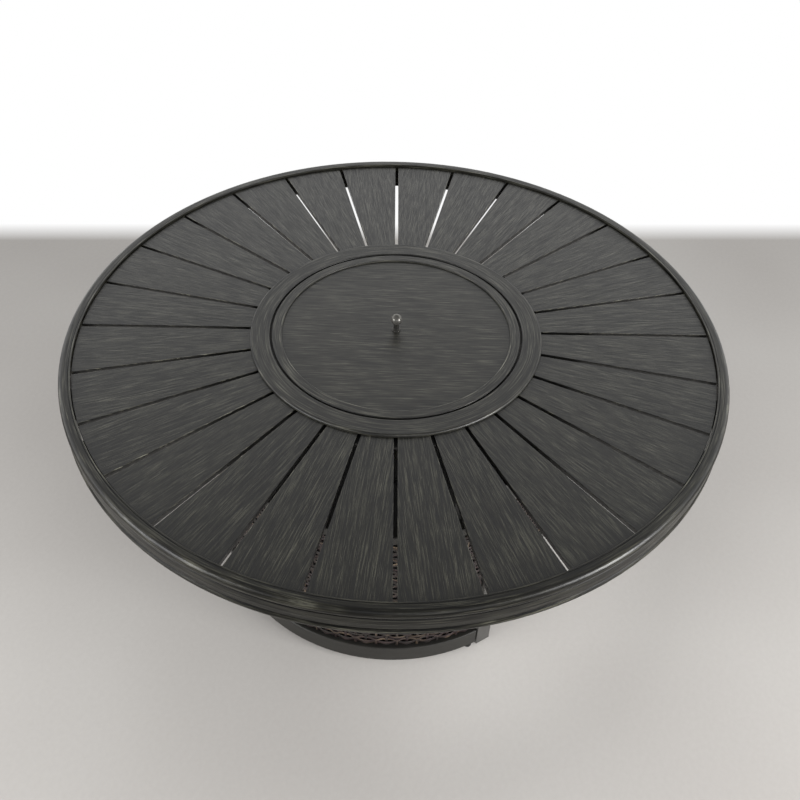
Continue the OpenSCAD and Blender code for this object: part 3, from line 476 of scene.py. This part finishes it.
def shade_wicker(tree, shader):
    """Resin strands: dark brown with tan and reddish streaks along each strand. Its U coordinate
    runs along a strand in metres, and V round it."""
    uv = put(tree, "ShaderNodeTexCoord").outputs["UV"]
    streak = noise_of(tree, scaled(tree, uv, 26.0, 5.0, 1.0), 1.0, 4.0, 0.6)
    long = noise_of(tree, scaled(tree, uv, 11.0, 1.3, 1.0), 1.0, 2.0, 0.5)
    hue = noise_of(tree, scaled(tree, uv, 6.0, 0.9, 1.0), 1.0, 1.0, 0.5)
    brown, red, tan = (ramp(tree, streak, [(stop, linear(*c)) for stop, c in zip((0.32, 0.50, 0.68), hues)])
                       for hues in (((20, 18, 17), (37, 32, 30), (59, 51, 46)),
                                    ((24, 17, 18), (46, 34, 35), (71, 54, 53)),
                                    ((44, 37, 30), (84, 70, 56), (132, 114, 92))))
    colour = mixed(tree, remap(tree, hue, 0.42, 0.60, 0.0, 1.0, True), brown, red)
    colour = mixed(tree, remap(tree, long, 0.55, 0.68, 0.0, 1.0, True), colour, tan)
    ribs = noise_of(tree, scaled(tree, uv, 8.0, 30.0, 1.0), 1.0, 2.0, 0.5)
    feed(tree, shader, colour, remap(tree, streak, 0.3, 0.7, 0.62, 0.42), ribs, 0.35, 0.0004)


SLAT = material("slat_finish", shade_slat)
RIM = material("rim_finish", shade_rim)
SURROUND = material("surround_finish", shade_surround)
LID = material("lid_finish", shade_lid)
RING = material("ring_finish", shade_ring)
JAMB = material("jamb_finish", powder((76, 75, 73), (88, 87, 84), 0.46))
BLACK = material("black_frame_finish", powder((30, 30, 30), (40, 40, 39), 0.5))
DOOR = material("door_frame_finish", powder((62, 61, 58), (78, 77, 73), 0.46))
SOOT = material("soot_finish", shade_soot)
STEEL = material("steel_finish", bare_metal((150, 149, 146), (182, 180, 176), 0.30))
BURNER = material("burner_finish", bare_metal((128, 124, 118), (170, 166, 158), 0.34, (200, 200, 200)))
BRASS = material("brass_finish", bare_metal((150, 118, 62), (190, 154, 88), 0.30))
KNOB = material("lid_knob_finish", shade_knob)
PULL = material("pull_finish", powder((52, 51, 49), (66, 65, 62), 0.34))
CERAMIC = material("ceramic_finish", shade_ceramic)
LAVA = material("lava_finish", shade_lava)
PLASTIC = material("black_plastic_finish", moulded((26, 26, 27), (36, 36, 37), 0.42))
DIAL = material("knob_plastic_finish", moulded((10, 10, 11), (17, 17, 18), 0.26))
RED = material("red_plastic_finish", moulded((128, 22, 18), (150, 32, 26), 0.36))
RUBBER = material("rubber_finish", moulded((22, 22, 22), (32, 32, 31), 0.72))
WICKER = material("wicker_finish", shade_wicker)

CAD_FINISH = {
    "outer_rim": RIM, "surround_ring": SURROUND, "lid_band": SURROUND, "lid_plate": LID,
    "bottom_ring": RING, "top_rail": RING, "door_frame": DOOR, "door_jambs": JAMB,
    "top_frame": BLACK, "control_plate": BLACK, "legs": BLACK, "base_plate": BLACK,
    "fire_bowl": SOOT, "slat_screws": STEEL, "burner_ring": BURNER, "stem_collar": STEEL,
    "hinge_leaves": STEEL, "strike_plate": STEEL, "gas_line": BRASS, "gas_valve": BRASS,
    "valve_stem": BRASS, "igniter_electrode": CERAMIC, "lava_rocks": LAVA, "gas_knob": DIAL,
    "igniter_module": PLASTIC, "magnet_catch": PLASTIC, "igniter_button": RED, "lid_knob": KNOB,
    "door_pull": PULL, "glides": RUBBER, "wicker_shell": WICKER, "door_wicker": WICKER,
}


def dress(obj, finish):
    """Gives a CAD node its finish."""
    if obj.material_slots:
        for holder in obj.material_slots:
            holder.material = finish
    else:
        obj.data.materials.append(finish)


for name, obj in nodes.items():
    dress(obj, SLAT if name.startswith("slat_") and name != "slat_screws" else CAD_FINISH[name])


# Pieces

def finish_mesh(name, mesh, finish, body, stands_for, angle=SMOOTH):
    """Turns a mesh into a piece that stands for CAD nodes, shaded smooth up to an angle."""
    mesh.materials.append(finish)
    mesh.polygons.foreach_set("use_smooth", [True] * len(mesh.polygons))
    mesh.set_sharp_from_angle(angle=math.radians(angle))
    mesh.update()
    obj = bpy.data.objects.new(name, mesh)
    scene.collection.objects.link(obj)
    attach(obj, body)
    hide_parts(*stands_for)
    return obj


def slat_mesh():
    """A slat along +X with parallel gaps to its neighbours, curved ends and eased top edges."""
    half, side = PITCH / 2, SLAT_GAP / 2
    reach_in = half - math.asin(side / SLAT_IN_R)
    reach_out = half - math.asin(side / SLAT_OUT_R)
    steps = 6
    rim = [(SLAT_OUT_R, -reach_out + 2 * reach_out * i / steps) for i in range(steps + 1)]
    rim += [(SLAT_IN_R, reach_in - 2 * reach_in * i / steps) for i in range(steps + 1)]
    bm = bmesh.new()
    low = [bm.verts.new((r * math.cos(a), r * math.sin(a), SLAT_BOTTOM)) for r, a in rim]
    face = bm.faces.new(low)
    up = bmesh.ops.extrude_face_region(bm, geom=[face])
    top = [v for v in up["geom"] if isinstance(v, bmesh.types.BMVert)]
    bmesh.ops.translate(bm, verts=top, vec=(0, 0, SLAT_TOP - SLAT_BOTTOM))
    bmesh.ops.recalc_face_normals(bm, faces=bm.faces)
    edges = [e for e in bm.edges if all(abs(v.co.z - SLAT_TOP) < 1e-6 for v in e.verts)]
    corners = [e for e in bm.edges
               if abs(e.verts[0].co.z - e.verts[1].co.z) > 1e-3
               and e.calc_face_angle() > math.radians(40)]
    bmesh.ops.bevel(bm, geom=edges + corners, offset=0.0006, segments=2, profile=0.5, affect="EDGES")
    mesh = bpy.data.meshes.new("slat")
    bm.to_mesh(mesh)
    bm.free()
    return mesh


def make_slats():
    for k in range(SLATS):
        name = f"slat_{k + 1:02d}"
        obj = finish_mesh(f"{name}_plank", slat_mesh(), SLAT, "table", [name], SLAT_SMOOTH)
        obj.matrix_world = Matrix.Rotation(FRONT + k * PITCH, 4, "Z")


def lathe(name, profile, steps, finish, body, stands_for):
    """A turned piece on the table's middle line. The profile is (radius, z) points, from end to end."""
    bm = bmesh.new()
    rings = []
    for r, z in profile:
        if r < 1e-7:
            rings.append([bm.verts.new((0, 0, z))])
        else:
            rings.append([bm.verts.new((r * math.cos(2 * math.pi * i / steps),
                                        r * math.sin(2 * math.pi * i / steps), z))
                          for i in range(steps)])
    for a, b in zip(rings, rings[1:]):
        for i in range(steps):
            j = (i + 1) % steps
            if len(a) == 1:
                bm.faces.new((a[0], b[j], b[i]))
            elif len(b) == 1:
                bm.faces.new((a[i], a[j], b[0]))
            else:
                bm.faces.new((a[i], a[j], b[j], b[i]))
    bmesh.ops.recalc_face_normals(bm, faces=bm.faces)
    mesh = bpy.data.meshes.new(name)
    bm.to_mesh(mesh)
    bm.free()
    finish_mesh(name, mesh, finish, body, stands_for)


def arc(r0, z0, radius, a0, a1, steps):
    """Points on an arc round (r0, z0), from one angle in degrees to another."""
    return [(r0 + radius * math.cos(math.radians(a0 + (a1 - a0) * i / steps)),
             z0 + radius * math.sin(math.radians(a0 + (a1 - a0) * i / steps)))
            for i in range(steps + 1)]


def make_lid_knob():
    """A ball on a waisted neck and a collar, with a pin that stands in the lid."""
    ball_z = LID_TOP + KNOB_HEIGHT - BALL_R
    start = -math.degrees(math.acos(NECK_R / BALL_R))
    pin_end = LID_TOP - 0.008
    profile = [(0, pin_end), (0.003, pin_end), (0.003, LID_TOP), (0.009, LID_TOP)]
    profile += arc(0.008, LID_TOP + 0.002, 0.001, 0, 90, 4)
    profile += [(0.0072, LID_TOP + 0.0031), (0.0063, LID_TOP + 0.0038), (0.006, LID_TOP + 0.0055),
                (NECK_R, LID_TOP + 0.011)]
    profile += arc(0, ball_z, BALL_R, start, 89, 26)
    profile += [(0, ball_z + BALL_R)]
    lathe("lid_knob_turned", profile, 64, KNOB, "lid", ["lid_knob"])


def rounded_block(bm, size, offset, matrix):
    """A block with rounded edges, placed by a matrix."""
    made = bmesh.ops.create_cube(bm, size=1.0)
    verts = made["verts"]
    bmesh.ops.scale(bm, vec=size, verts=verts)
    edges = list({e for v in verts for e in v.link_edges})
    done = bmesh.ops.bevel(bm, geom=edges, offset=offset, segments=4, profile=0.5, affect="EDGES")
    verts = {v for f in done["faces"] for v in f.verts} | {v for v in verts if v.is_valid}
    bmesh.ops.transform(bm, matrix=matrix, verts=list(verts))


def make_jambs():
    """The two posts beside the door."""
    bm = bmesh.new()
    lo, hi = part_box("door_jambs")
    height = hi.z - lo.z
    for sign in (-1, 1):
        turn = Matrix.Rotation(FRONT + sign * JAMB_ANGLE, 4, "Z")
        spot = Matrix.Translation((BASE_R - JAMB_DEPTH / 2, 0, (lo.z + hi.z) / 2))
        rounded_block(bm, (JAMB_DEPTH, JAMB_WIDTH, height), 0.0022, turn @ spot)
    mesh = bpy.data.meshes.new("jambs")
    bm.to_mesh(mesh)
    bm.free()
    finish_mesh("door_jambs_eased", mesh, JAMB, "table", ["door_jambs"])


# Wicker

def strand(bm, uv, points, normals, ups, half, tag):
    """A strand of rounded section along points. normals point outwards and ups across the strand.
    half is half its width and half its thickness, and tag shifts its UV place in the finish."""
    half_w, half_t = half
    section = [(-1.0, 0.0), (-0.7, 0.75), (0.0, 1.0), (0.7, 0.75), (1.0, 0.0), (0.6, -0.8), (-0.6, -0.8)]
    rings = []
    for p, n, u in zip(points, normals, ups):
        rings.append([bm.verts.new(p + u * (a * half_w) + n * (b * half_t)) for a, b in section])
    length = 0.0
    count = len(section)
    for i in range(len(points) - 1):
        step = (points[i + 1] - points[i]).length
        for s in range(count):
            t = (s + 1) % count
            face = bm.faces.new((rings[i][s], rings[i][t], rings[i + 1][t], rings[i + 1][s]))
            spans = ((length, s), (length, s + 1), (length + step, s + 1), (length + step, s))
            for loop, (along, around) in zip(face.loops, spans):
                loop[uv].uv = (along + tag * 3.7, around / count + tag * 2.3)
        length += step
    bm.faces.new(rings[0])
    bm.faces.new(list(reversed(rings[-1])))


def weave(name, spot, length, z0, z1, body, stands_for, seed):
    """Open resin weave. spot(s, d, z) gives a point s along the wall, d outwards and z up."""
    draw = random.Random(seed)
    bm = bmesh.new()
    uv = bm.loops.layers.uv.new("strand")
    spaces = round(length / WEAVE_STAKE)
    pitch = length / spaces
    tag = 0

    def outward(s, z):
        return (spot(s, 0.001, z) - spot(s, 0.0, z)).normalized()

    for i in range(spaces + 1):
        edge = i in (0, spaces)
        s = min(max(i * pitch, END_STAKE_HALF[0]), length - END_STAKE_HALF[0])
        zs = [z0 + (z1 - z0) * j / STAKE_SPANS for j in range(STAKE_SPANS + 1)]
        points = [spot(s, 0.0, z) for z in zs]
        normals = [outward(s, z) for z in zs]
        sides = [(spot(s + 0.001, 0, z) - spot(s, 0, z)).normalized() for z in zs]
        tag += 1
        strand(bm, uv, points, normals, sides, END_STAKE_HALF if edge else STAKE_HALF, tag)
    rows = round((z1 - z0) / WEAVE_ROW)
    row_step = (z1 - z0) / rows
    for row in range(rows):
        middle = z0 + (row + 0.5) * row_step
        for half in (-1, 1):
            tag += 1
            # A strand wanders by half a millimetre, each in its own way
            drift = draw.uniform(0, 6.28)
            points, normals, ups = [], [], []
            for k in range(spaces * PER_SPACE + 1):
                s = length * k / (spaces * PER_SPACE)
                turn = math.pi * s / pitch
                # The two strands of a row part at the stakes and lie over each other between them
                spread = WEAVE_SPREAD + WEAVE_SWAY * math.cos(2 * turn)
                z = middle + half * spread + 0.0005 * math.sin(s * 31 + drift)
                d = WEAVE_BOW * math.cos(turn + math.pi * row) + half * (-1) ** row * WEAVE_LAP
                points.append(spot(s, d, z))
                normals.append(outward(s, z))
                ups.append(Vector((0, 0, 1)))
            strand(bm, uv, points, normals, ups, STRAND_HALF, tag)
    bmesh.ops.recalc_face_normals(bm, faces=bm.faces)
    mesh = bpy.data.meshes.new(name)
    bm.to_mesh(mesh)
    bm.free()
    finish_mesh(name, mesh, WICKER, body, stands_for, STRAND_SMOOTH)


def make_weaves():
    """The drum's wall, from one side of the door round to the other, and the door's infill."""
    lo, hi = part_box("wicker_shell")

    def drum(s, d, z):
        a = FRONT + WICKER_OPENING + s / WICKER_R
        return Vector(((WICKER_R + d) * math.cos(a), (WICKER_R + d) * math.sin(a), z))

    weave("wicker_wall", drum, (2 * math.pi - 2 * WICKER_OPENING) * WICKER_R,
          lo.z + WEAVE_MARGIN, hi.z - WEAVE_MARGIN, "table", ["wicker_shell"], 5)
    lo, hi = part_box("door_wicker")
    y = (lo.y + hi.y) / 2

    def panel(s, d, z):
        return Vector((lo.x + s, y - d, z))

    weave("wicker_door_panel", panel, hi.x - lo.x,
          lo.z + WEAVE_MARGIN, hi.z - WEAVE_MARGIN, "door", ["door_wicker"], 9)


# Lava rocks

def islands(mesh):
    """The separate lumps of a mesh, each as its lowest and highest corner. The triangles of a CAD
    mesh share no vertices, so vertices in one place count as one."""
    spots = {}
    index = [spots.setdefault(tuple(round(c, 6) for c in v.co), len(spots)) for v in mesh.vertices]
    group = list(range(len(spots)))

    def root(i):
        while group[i] != i:
            group[i] = group[group[i]]
            i = group[i]
        return i

    for edge in mesh.edges:
        a, b = (root(index[i]) for i in edge.vertices)
        group[a] = b
    lumps = {}
    for vertex in mesh.vertices:
        lumps.setdefault(root(index[vertex.index]), []).append(vertex.co)
    boxes = []
    for points in lumps.values():
        boxes.append((Vector([min(p[k] for p in points) for k in range(3)]),
                      Vector([max(p[k] for p in points) for k in range(3)])))
    return sorted(boxes, key=lambda box: tuple(box[0]))


def make_rocks():
    """Broken, porous lumps in the places of the CAD's lava rocks."""
    draw = random.Random(21)
    bm = bmesh.new()
    for lo, hi in islands(nodes["lava_rocks"].data):
        middle, half = (lo + hi) / 2, (hi - lo) / 2
        shift = Vector([draw.uniform(-50, 50) for _ in range(3)])
        for vertex in bmesh.ops.create_icosphere(bm, subdivisions=3, radius=1.0)["verts"]:
            way = vertex.co.normalized()
            lump = 0.34 * noise.noise(way * 1.4 + shift) + 0.20 * noise.noise(way * 3.3 + shift)
            pit = 0.10 * noise.noise(way * 9.0 + shift)
            reach = min(0.92 + lump + pit, 1.0)
            vertex.co = middle + Vector([way[k] * half[k] for k in range(3)]) * reach
    mesh = bpy.data.meshes.new("lava_rock_bed")
    bm.to_mesh(mesh)
    bm.free()
    finish_mesh("lava_rock_bed", mesh, LAVA, "table", ["lava_rocks"], ROCK_SMOOTH)


make_slats()
make_rocks()
make_lid_knob()
make_jambs()
make_weaves()


# Floor, backdrop and light

def view_rays(tree):
    """1 for the rays that show the backdrop: camera, glossy and transmission rays."""
    path = put(tree, "ShaderNodeLightPath")
    return calc(tree, "MAXIMUM", path.outputs["Is Camera Ray"],
                calc(tree, "MAXIMUM", path.outputs["Is Glossy Ray"], path.outputs["Is Transmission Ray"]))


def make_floor():
    """The pale floor, which turns into the white backdrop behind the table."""
    mesh = bpy.data.meshes.new("floor")
    corners = [(x * FLOOR_HALF, y * FLOOR_HALF, 0) for x, y in ((-1, -1), (1, -1), (1, 1), (-1, 1))]
    mesh.from_pydata(corners, [], [(0, 1, 2, 3)])
    floor = bpy.data.objects.new("floor", mesh)
    scene.collection.objects.link(floor)
    made = bpy.data.materials.new("floor_finish")
    made.use_nodes = True
    tree = made.node_tree
    tree.nodes.clear()
    spot = place(tree)
    mottle = noise_of(tree, spot, 90.0, 4.0, 0.6)
    broad = noise_of(tree, spot, 1.1, 2.0, 0.5)
    tone = calc(tree, "MULTIPLY_ADD", mottle, 0.25, calc(tree, "MULTIPLY", broad, 0.75))
    colour = two_tone(tree, tone, (184, 180, 176), (198, 195, 191))
    # Painted light makes it a little paler in front, and round the base towards PHOTO_RIGHT
    far = along_way(tree, spot, BACKDROP_WAY)
    painted_front_light = remap(tree, far, -0.6, 1.2, 1.07, 0.93, True)
    painted_light_near_base = remap(tree, from_middle(tree), 0.42, 0.74, 1.0, 0.0, True)
    right = remap(tree, along_way(tree, spot, PHOTO_RIGHT), -0.35, 0.25, 0.04, 0.36, True)
    colour = tinted(tree, colour, calc(tree, "MULTIPLY_ADD", painted_light_near_base, right, painted_front_light))
    matt = put(tree, "ShaderNodeBsdfPrincipled", {"Base Color": colour, "Roughness": 0.8})
    matt.inputs["Specular IOR Level"].default_value = 0.15
    # The floor turns white behind the table, along a line that is level in the photograph
    fade = remap(tree, far, FADE_START, FADE_END, 0.0, 1.0)
    glow = put(tree, "ShaderNodeEmission", {"Color": (1, 1, 1, 1), "Strength": 1.0})
    mix = put(tree, "ShaderNodeMixShader", {0: calc(tree, "MULTIPLY", fade, view_rays(tree))})
    tree.links.new(matt.outputs[0], mix.inputs[1])
    tree.links.new(glow.outputs[0], mix.inputs[2])
    out = put(tree, "ShaderNodeOutputMaterial")
    tree.links.new(mix.outputs[0], out.inputs["Surface"])
    mesh.materials.append(made)


def make_world():
    """White for the camera, WORLD_LIGHT for plain light, and a studio room for reflections."""
    world = bpy.data.worlds.new("studio")
    scene.world = world
    world.use_nodes = True
    tree = world.node_tree
    tree.nodes.clear()
    path = put(tree, "ShaderNodeLightPath")
    way = put(tree, "ShaderNodeTexCoord").outputs["Generated"]
    height = put(tree, "ShaderNodeSeparateXYZ", {0: way}).outputs["Z"]
    # Reflections meet a white wall behind the table, a dark ceiling, and two low strips in front
    walls = remap(tree, height, 0.56, 0.84, 1.0, 0.04, True)
    depth = along_way(tree, way, BACKDROP_WAY)
    strips = calc(tree, "MULTIPLY", band(tree, height, 0.47, 0.07, 0.08),
                  remap(tree, depth, -0.78, -0.55, 0.0, 0.85, True))
    behind = remap(tree, depth, -0.15, 0.15, 0.0, 1.0, True)
    walls = calc(tree, "MULTIPLY", walls, calc(tree, "MAXIMUM", behind, calc(tree, "ADD", strips, 0.15)))
    seen = calc(tree, "MAXIMUM", path.outputs["Is Camera Ray"], path.outputs["Is Transmission Ray"])
    glossy = path.outputs["Is Glossy Ray"]
    plain = calc(tree, "MULTIPLY_ADD", glossy, -WORLD_LIGHT, WORLD_LIGHT)
    lit = calc(tree, "MAXIMUM", seen, calc(tree, "MULTIPLY_ADD", glossy, walls, plain))
    back = put(tree, "ShaderNodeBackground", {"Color": (1, 1, 1, 1), "Strength": 1.0})
    tree.links.new(lit, back.inputs["Strength"])
    out = put(tree, "ShaderNodeOutputWorld")
    tree.links.new(back.outputs[0], out.inputs["Surface"])


def lamp(name, spot, target, size, energy):
    """A square soft lamp that faces a target. Its energy is in watts."""
    data = bpy.data.lights.new(name, "AREA")
    data.energy = energy
    data.size = size
    obj = bpy.data.objects.new(name, data)
    obj.location = spot
    obj.rotation_mode = "QUATERNION"
    obj.rotation_quaternion = (Vector(target) - Vector(spot)).to_track_quat("-Z", "Y")
    scene.collection.objects.link(obj)


make_floor()
make_world()
lamp("lamp_left", (-2.75, 1.45, 1.25), (0, 0, 0.40), 1.6, 38)
lamp("lamp_right", (-0.04, -3.10, 1.40), (0, 0, 0.40), 1.4, 60)
lamp("lamp_front", (-1.80, -1.70, 1.25), (0, -0.4, 0.10), 1.0, 4)

scene.view_settings.view_transform = "Standard"
